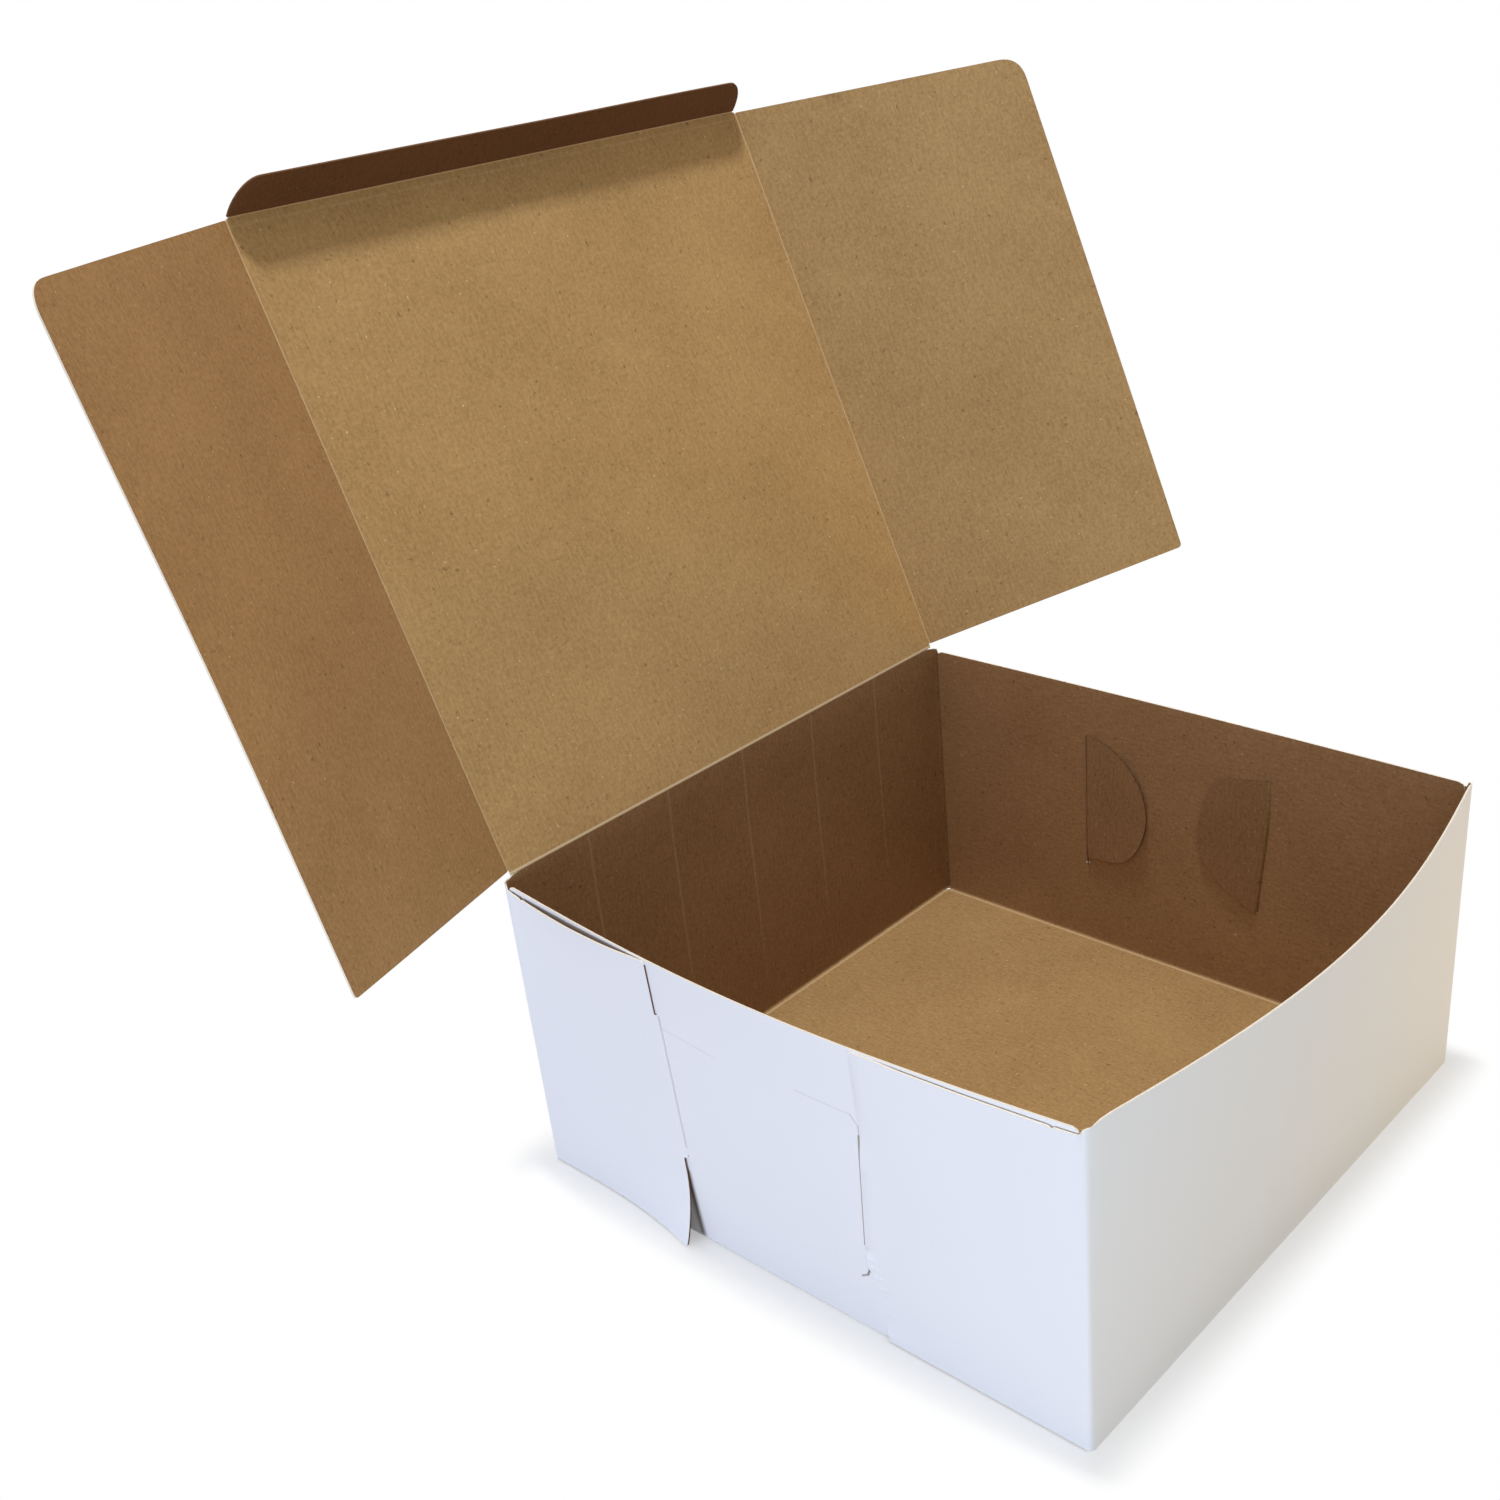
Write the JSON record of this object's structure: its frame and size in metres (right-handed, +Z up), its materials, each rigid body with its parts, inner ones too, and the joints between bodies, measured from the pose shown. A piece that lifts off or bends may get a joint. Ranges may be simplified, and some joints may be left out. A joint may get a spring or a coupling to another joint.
{
  "type": "bakery box",
  "caption": "Square bakery box of thin folded board, with interlocking corner ears, a hinged lid, two side flaps and a front tuck flap.",
  "frame": {"origin": "centre of the tray's base, on the surface it stands on", "axes": "+Z up, +Y towards the back wall that carries the lid, +X to the right seen from the front"},
  "size_m": [0.3534, 0.2892, 0.2921],
  "materials": {
    "coated_board": "white coated outside, uncoated kraft inside",
    "kraft_board": "uncoated kraft inside, white coated outside"
  },
  "bodies": {
    "tray": {"tray": "coated_board"},
    "lid": {"lid_panel": "kraft_board"},
    "left_flap": {"left_side_flap": "kraft_board"},
    "right_flap": {"right_side_flap": "kraft_board"},
    "tuck_flap": {"front_tuck_flap": "kraft_board"}
  },
  "joints": [
    {"name": "lid_hinge", "type": "hinge", "parent": "tray", "child": "lid", "pos_m": [0, 0.10135, 0.102], "axis": [1, 0, 0], "range_deg": [-68, 106.9]},
    {"name": "left_flap_hinge", "type": "hinge", "parent": "lid", "child": "left_flap", "pos_m": [-0.0989, 0.10135, 0.102], "axis": [0, 0.373, 0.9278], "range_deg": [-31.8, 58.2]},
    {"name": "right_flap_hinge", "type": "hinge", "parent": "lid", "child": "right_flap", "pos_m": [0.0989, 0.10135, 0.102], "axis": [0, -0.373, -0.9278], "range_deg": [-42, 48]},
    {"name": "tuck_flap_hinge", "type": "hinge", "parent": "lid", "child": "tuck_flap", "pos_m": [0, 0.17371, 0.282], "axis": [1, 0, 0], "range_deg": [-62, 33]}
  ]
}
